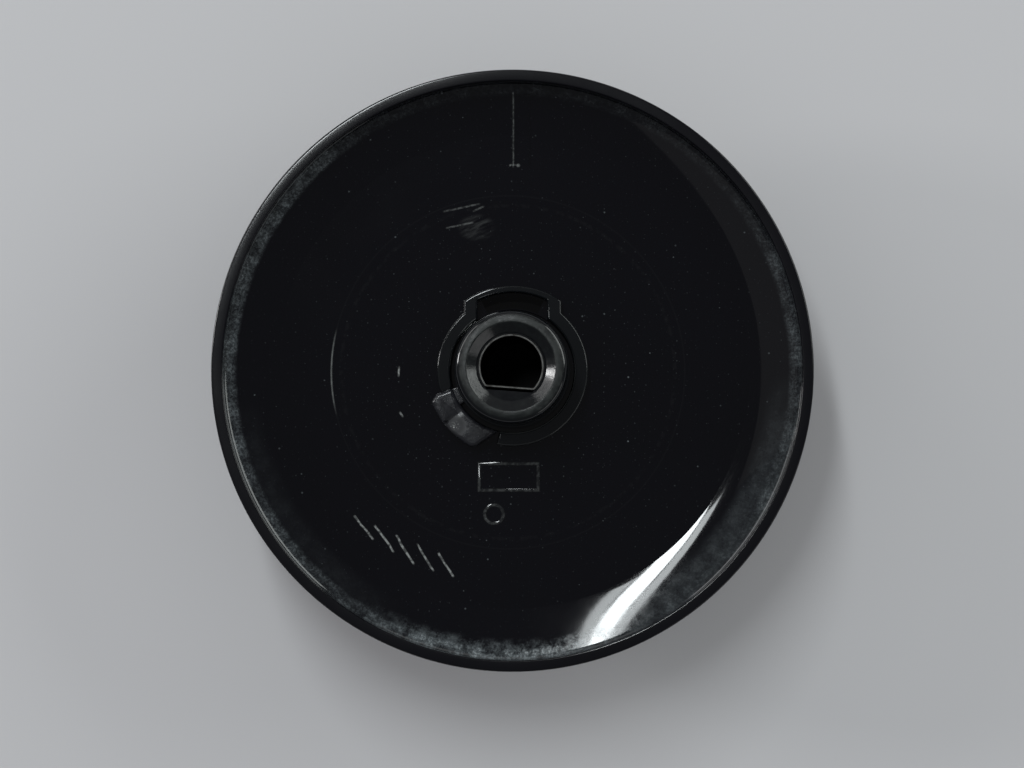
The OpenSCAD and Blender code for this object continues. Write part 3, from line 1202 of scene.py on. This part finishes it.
    def _collar(self) -> None:
        """Raises the C-shaped collar with its bulge round the slot."""
        s = self.sizes
        base = s.floor_z - ROOT
        half_b = s.bulge_w / 2
        half_p = s.pocket_w / 2
        mid_r = (s.collar_r + s.collar_in_r) / 2
        side_out = math.degrees(math.acos(half_b / s.collar_r))
        side_top = math.degrees(math.acos(half_b / s.bulge_r))
        pocket_in = math.degrees(math.acos(half_p / s.collar_in_r))
        pocket_out = math.degrees(math.acos(half_p / s.slot_out_r))
        axis_point = Vector((0, 0, base))
        outline = bmesh.new()
        pen = Pen(outline, polar(s.collar_r, s.collar_start, base))
        pen.arc(axis_point, UP, side_out - s.collar_start, 64)
        pen.line(Vector((half_b, chord_height(s.bulge_r, half_b), base)))
        pen.arc(axis_point, UP, 180 - 2 * side_top, 32)
        pen.line(Vector((-half_b, chord_height(s.collar_r, half_b), base)))
        pen.arc(axis_point, UP, s.collar_end - (180 - side_out), 32)
        pen.arc(polar(mid_r, s.collar_end, base), UP, 180, 12)
        pen.arc(axis_point, UP, (180 - pocket_in) - s.collar_end, 32)
        pen.line(Vector((-half_p, chord_height(s.slot_out_r, half_p), base)))
        pen.arc(axis_point, UP, 2 * pocket_out - 180, 32)
        pen.line(Vector((half_p, chord_height(s.collar_in_r, half_p), base)))
        pen.arc(axis_point, UP, s.collar_start - pocket_in, 64)
        self._raise(outline, pen.close(), s.collar_h + ROOT, s.collar_edge_r)
        self._join(outline, FaceKind.GLOSS)

    def _lug(self) -> None:
        """Raises the stop lug, chips its outer edge and bridges it to the boss."""
        s = self.sizes
        base = s.groove_z - ROOT
        axis_point = Vector((0, 0, base))
        corner = polar(s.groove_r, s.lug_end, base)
        run = polar(1.0, s.lug_end - s.lug_splay)
        lean = s.groove_r * math.cos(math.radians(s.lug_splay))
        far = corner + run * (math.sqrt(lean ** 2 + s.lug_r ** 2 - s.groove_r ** 2) - lean)
        near = corner + run * (math.sqrt(lean ** 2 + s.collar_in_r ** 2 - s.groove_r ** 2) - lean)
        far_angle = math.degrees(math.atan2(far.y, far.x)) % 360
        near_angle = math.degrees(math.atan2(near.y, near.x)) % 360
        outline = bmesh.new()
        pen = Pen(outline, polar(s.collar_in_r, s.lug_start, base))
        pen.line(polar(s.lug_r - 0.7, s.lug_start + 0.5, base))
        pen.line(polar(s.lug_r, s.lug_start + 4.5, base))
        pen.arc(axis_point, UP, far_angle - s.lug_start - 6.5, 24)
        pen.line(far.lerp(near, 0.12))
        pen.line(near)
        pen.arc(axis_point, UP, s.lug_start - near_angle + 0.01, 24)
        height = s.lug_h + s.groove_depth + ROOT
        self._raise(outline, pen.close(), height, s.lug_edge_r)
        self._chip(outline)
        self._join(outline, FaceKind.WORN)
        bridge = bmesh.new()
        pen = Pen(bridge, polar(s.foot_r - 0.3, s.lug_start, base))
        pen.arc(axis_point, UP, s.bridge_span, 8)
        pen.line(polar(s.collar_in_r + 0.4, s.lug_start + s.bridge_span, base))
        pen.arc(axis_point, UP, -s.bridge_span, 8)
        self._raise(bridge, pen.close(), height - s.spring_gap, s.bridge_edge_r)
        self._join(bridge, FaceKind.WORN)

    def _chip(self, lug: bmesh.types.BMesh) -> None:
        """Breaks a small notch out of the lug's outer top edge.

        Args:
            lug: The bmesh that holds only the lug.
        """
        s = self.sizes
        top = s.floor_z + s.lug_h
        for angle in (*self.chip_span, sum(self.chip_span) / 2):
            geom = lug.verts[:] + lug.edges[:] + lug.faces[:]
            bmesh.ops.bisect_plane(lug, geom=geom, plane_co=Vector(), plane_no=polar(1.0, angle + 90))
        middle = sum(self.chip_span) / 2
        for vert in lug.verts:
            angle = math.degrees(math.atan2(vert.co.y, vert.co.x)) % 360
            outside = vert.co.xy.length > s.lug_r - 0.6
            if outside and vert.co.z > top - 0.3 and abs(angle - middle) < 1.0:
                vert.co.z -= self.chip_depth
                vert.co.xy *= 1.0 - self.chip_depth / s.lug_r

    def _frame(self, outline: bmesh.types.BMesh, centre: tuple[float, float]) -> None:
        """Raises a thin frame along the edge of a flat outline and sets it on the dished side.

        Args:
            outline: The bmesh that holds only the outline's face, about the origin.
            centre: Place of the frame's middle, in millimetres.
        """
        s = self.sizes
        made = bmesh.ops.inset_region(
            outline, faces=outline.faces[:], thickness=s.sign_w, use_boundary=True, use_even_offset=True)
        frame_faces = set(made["faces"])
        middle = [face for face in outline.faces if face not in frame_faces]
        bmesh.ops.delete(outline, geom=middle, context="FACES_ONLY")
        made = bmesh.ops.extrude_face_region(outline, geom=outline.faces[:])
        top = {g for g in made["geom"] if isinstance(g, bmesh.types.BMVert)}
        bmesh.ops.translate(outline, vec=UP * (s.sign_root + s.sign_rise), verts=list(top))
        bmesh.ops.recalc_face_normals(outline, faces=outline.faces[:])
        rim = [edge for edge in outline.edges if edge.verts[0] in top and edge.verts[1] in top
               and any(abs(face.normal.z) < 0.5 for face in edge.link_faces)]
        round_edges(outline, rim, s.sign_edge_r, 2)
        place = Vector((centre[0], centre[1], s.floor_z - s.sign_root))
        bmesh.ops.translate(outline, vec=place, verts=outline.verts[:])
        self._join(outline, FaceKind.GLOSS)

    def _signs(self) -> None:
        """Adds the plain plate outline and the plain ring to the dished side."""
        s = self.sizes
        half_line = s.sign_w / 2
        plate = bmesh.new()
        bmesh.ops.create_grid(plate, x_segments=1, y_segments=1, size=1.0)
        reach = Vector((s.plate_half[0] + half_line, s.plate_half[1] + half_line, 1.0))
        bmesh.ops.scale(plate, vec=reach, verts=plate.verts[:])
        self._frame(plate, s.plate_centre)
        ring = bmesh.new()
        bmesh.ops.create_circle(ring, cap_ends=True, radius=s.ring_radius + half_line, segments=64)
        self._frame(ring, s.ring_centre)

    def _raised_mark(self) -> None:
        """Adds the raised index mark on the skirt's front."""
        s = self.sizes
        slope = (s.skirt_front - s.grip_h) / (s.rim_r - s.skirt_edge_r - s.grip_r - s.grip_root_r)
        start = s.grip_h + slope * (s.mark_in_r - s.grip_r - s.grip_root_r) + ROOT
        half = s.mark_w / 2
        mark = bmesh.new()
        depth = s.mark_rise + ROOT
        pen = Pen(mark, Vector((s.mark_shift - half, s.mark_in_r, start)))
        pen.line(Vector((s.mark_shift + half, s.mark_in_r, start)))
        pen.line(Vector((s.mark_shift + half, s.mark_out_r, start + slope * s.mark_len)))
        pen.line(Vector((s.mark_shift - half, s.mark_out_r, start + slope * s.mark_len)))
        self._raise(mark, pen.close(), -depth, s.mark_edge_r)
        self._join(mark, FaceKind.GLOSS)

    def build(self) -> bpy.types.Object:
        """Builds the moulding and dresses it.

        Returns:
            The piece.
        """
        self._turn()
        self._flutes()
        self._socket()
        self._slot()
        self._recess()
        self._collar()
        self._lug()
        self._raised_mark()
        self._signs()
        return finish_piece("moulded_knob", self.mesh, self.finishes, ["knob_body"])


@dataclass
class Clip:
    """The D-shaped sheet-steel sleeve in the socket."""

    sizes: KnobSizes
    finish: bpy.types.Material
    segments: int = 288
    edge: float = 0.05

    def build(self) -> bpy.types.Object:
        """Draws the sleeve's wall as one closed loop of sections and dresses it.

        Returns:
            The piece.
        """
        s = self.sizes
        outer = (s.shaft_r + s.clip_wall, s.shaft_flat + s.clip_wall)
        inner = (s.shaft_r, s.shaft_flat)
        top = s.clip_bottom + s.clip_len
        mesh = bmesh.new()
        made = bmesh.ops.create_circle(mesh, segments=self.segments, radius=outer[0], cap_ends=False)
        DSection(*outer).place(made["verts"], s.clip_bottom)
        first = mesh.edges[:]
        loop = first
        sections = (
            (outer, 0.0, top - self.edge), (outer, -self.edge, top), (inner, self.edge, top),
            (inner, 0.0, top - self.edge), (inner, 0.0, s.clip_bottom))
        for (radius, flat), grow, height in sections:
            verts, loop = extrude_loop(mesh, loop)
            DSection(radius + grow, flat + grow).place(verts, height)
        bmesh.ops.bridge_loops(mesh, edges=first + loop)
        return finish_piece("d_shaft_clip", mesh, [self.finish], ["shaft_clip"])


def facing(place: Vector, target: Vector, along: Vector) -> Quaternion:
    """Gives the turn of a lamp or camera that looks at a point.

    Args:
        place: Where the lamp or camera stands.
        target: The point that it looks at.
        along: Direction that its own +Y comes nearest to.

    Returns:
        The turn.
    """
    back = (place - target).normalized()
    right = along.cross(back).normalized()
    return Matrix((right, back.cross(right), back)).transposed().to_quaternion()


@dataclass(frozen=True)
class Panel:
    """A soft rectangular lamp that looks at the knob, with its second size along a direction."""

    name: str
    place: tuple
    size: tuple
    radiance: float
    tint: tuple = (1.0, 1.0, 1.0)
    along: tuple = (0.0, 0.0, 1.0)
    target: tuple = (0.0, 0.0, 0.0142)

    def add(self) -> None:
        """Adds the lamp."""
        lamp = bpy.data.lights.new(self.name, "AREA")
        lamp.shape = "RECTANGLE"
        lamp.size, lamp.size_y = self.size
        lamp.energy = self.radiance * math.pi * self.size[0] * self.size[1]
        lamp.color = self.tint
        holder = bpy.data.objects.new(self.name, lamp)
        holder.location = self.place
        holder.rotation_mode = "QUATERNION"
        holder.rotation_quaternion = facing(Vector(self.place), Vector(self.target), Vector(self.along))
        bpy.context.scene.collection.objects.link(holder)


@dataclass
class Studio:
    """Floor, lamps and the camera above the knob."""

    sizes: KnobSizes
    image_w: int = 1024
    image_h: int = 768
    knob_px: tuple = (512.2, 369.9)
    rim_px: float = 301.4
    camera_height: float = 0.35
    lean_x: float = 0.8
    lean_y: float = 2.2
    tube_origin: tuple = (-0.072, 0.0, 0.62)
    tube_slant: float = -0.165
    tube_end: float = 0.56
    tubes: tuple = ((0.0, 0.031, 0.094, 34.0), (0.027, 0.016, 0.135, 10.0), (-0.03, 0.022, 0.104, 10.5))
    sky_light: float = 0.34
    sky_mirrored: float = 0.1
    sky_tint: tuple = (0.95, 0.97, 1.0, 1.0)
    floor_half: float = 3.0
    floor_grey: tuple = (0.52, 0.515, 0.525, 1.0)

    def _floor(self) -> None:
        """Adds the pale floor under the knob."""
        graph = Graph(bpy.data.materials.new("pale_floor"))
        point, _x, _y, _z = graph.place()
        tone = graph.noise(point, 0.004, 2.0).rise(0.2, 0.8)
        darker = tuple(0.97 * part for part in self.floor_grey[:3]) + (1.0,)
        material = graph.surface({
            "Base Color": graph.blend(tone, darker, self.floor_grey),
            "Roughness": 0.9,
            "Specular IOR Level": 0.2,
        })
        mesh = bmesh.new()
        bmesh.ops.create_grid(mesh, x_segments=1, y_segments=1, size=self.floor_half)
        data = bpy.data.meshes.new("floor")
        mesh.to_mesh(data)
        mesh.free()
        data.materials.append(material)
        floor = bpy.data.objects.new("floor", data)
        bpy.context.scene.collection.objects.link(floor)

    def _tube(self, offset: float, width: float, start: float, radiance: float) -> None:
        """Adds one strip of the long ceiling lamp.

        Args:
            offset: Sideways distance from the lamp's middle line, in metres.
            width: Width of the strip, in metres.
            start: Place of the strip's near end along +Y, in metres.
            radiance: Brightness of the strip.
        """
        run = Vector((self.tube_slant, 1.0, 0.0))
        length = (self.tube_end - start) * run.length
        middle = (self.tube_end + start) / 2
        place = Vector(self.tube_origin) + run * middle + run.cross(UP).normalized() * offset
        below = (place.x, place.y, 0.0)
        Panel("tube", tuple(place), (width, length), radiance, (0.93, 0.985, 1.0), tuple(run), below).add()

    def _lamps(self) -> None:
        """Adds the long ceiling lamp, the side lamps and the dim sky."""
        for tube in self.tubes:
            self._tube(*tube)
        panels = (
            Panel("left_lamp", (-0.74, 0.155, 0.29), (0.14, 0.12), 26.0),
            Panel("left_window", (-0.6, 0.42, 0.36), (0.45, 0.2), 3.0),
            Panel("right_window", (0.63, 0.335, 0.4), (0.6, 0.24), 4.0, (0.95, 1.0, 0.98)),
            Panel("near_window", (0.6, -0.45, 0.33), (0.6, 0.2), 1.0),
            Panel("far_lamp", (0.0, 0.95, 0.63), (0.9, 0.2), 0.7),
            Panel("far_glow", (0.1, 1.1, 0.41), (1.6, 0.42), 0.12),
            Panel("dim_left", (-0.34, -0.1, 0.62), (0.3, 0.5), 0.11, along=(0.0, 1.0, 0.0)),
        )
        for panel in panels:
            panel.add()
        world = bpy.data.worlds.new("sky")
        bpy.context.scene.world = world
        graph = Graph(world)
        mirrored = graph.value("ShaderNodeLightPath", output="Is Glossy Ray")
        level = graph.value("ShaderNodeMapRange", sockets={
            "Value": mirrored, "To Min": self.sky_light, "To Max": self.sky_mirrored})
        sky = graph.node("ShaderNodeBackground", sockets={"Color": self.sky_tint, "Strength": level})
        graph.node("ShaderNodeOutputWorld", sockets={"Surface": sky.outputs["Background"]})

    def _camera(self) -> None:
        """Adds the camera so that the rim falls where the photograph shows it."""
        s = self.sizes
        per_mm = self.rim_px / s.rim_r
        focal_px = per_mm * self.camera_height / MM
        plane = (s.lip_top - s.lip_w / 2) * MM
        aim = Vector((
            (self.image_w / 2 - self.knob_px[0]) / per_mm * MM,
            (self.knob_px[1] - self.image_h / 2) / per_mm * MM,
            plane))
        lens = bpy.data.cameras.new("camera")
        lens.sensor_fit = "HORIZONTAL"
        lens.sensor_width = 36.0
        lens.lens = focal_px * lens.sensor_width / self.image_w
        holder = bpy.data.objects.new("camera", lens)
        holder.location = aim + Vector((
            self.camera_height * math.tan(math.radians(self.lean_x)),
            -self.camera_height * math.tan(math.radians(self.lean_y)),
            self.camera_height))
        holder.rotation_mode = "QUATERNION"
        holder.rotation_quaternion = facing(holder.location, aim, Vector((0.0, 1.0, 0.0)))
        bpy.context.scene.collection.objects.link(holder)
        bpy.context.scene.camera = holder

    def build(self) -> None:
        """Builds the floor, the lamps and the camera."""
        self._floor()
        self._lamps()
        self._camera()
        bpy.context.scene.view_settings.view_transform = "Standard"


def main() -> None:
    """Builds the knob, its clip and the studio, in that order."""
    logging.basicConfig(level=logging.INFO)
    sizes = KnobSizes()
    finishes = [GlossPlastic(sizes).material(), WornPlastic().material()]
    Moulding(sizes, finishes).build()
    Clip(sizes, ClipSteel(sizes.mouth_z + sizes.clip_proud).material()).build()
    Studio(sizes).build()


if __name__ == "__main__":
    main()
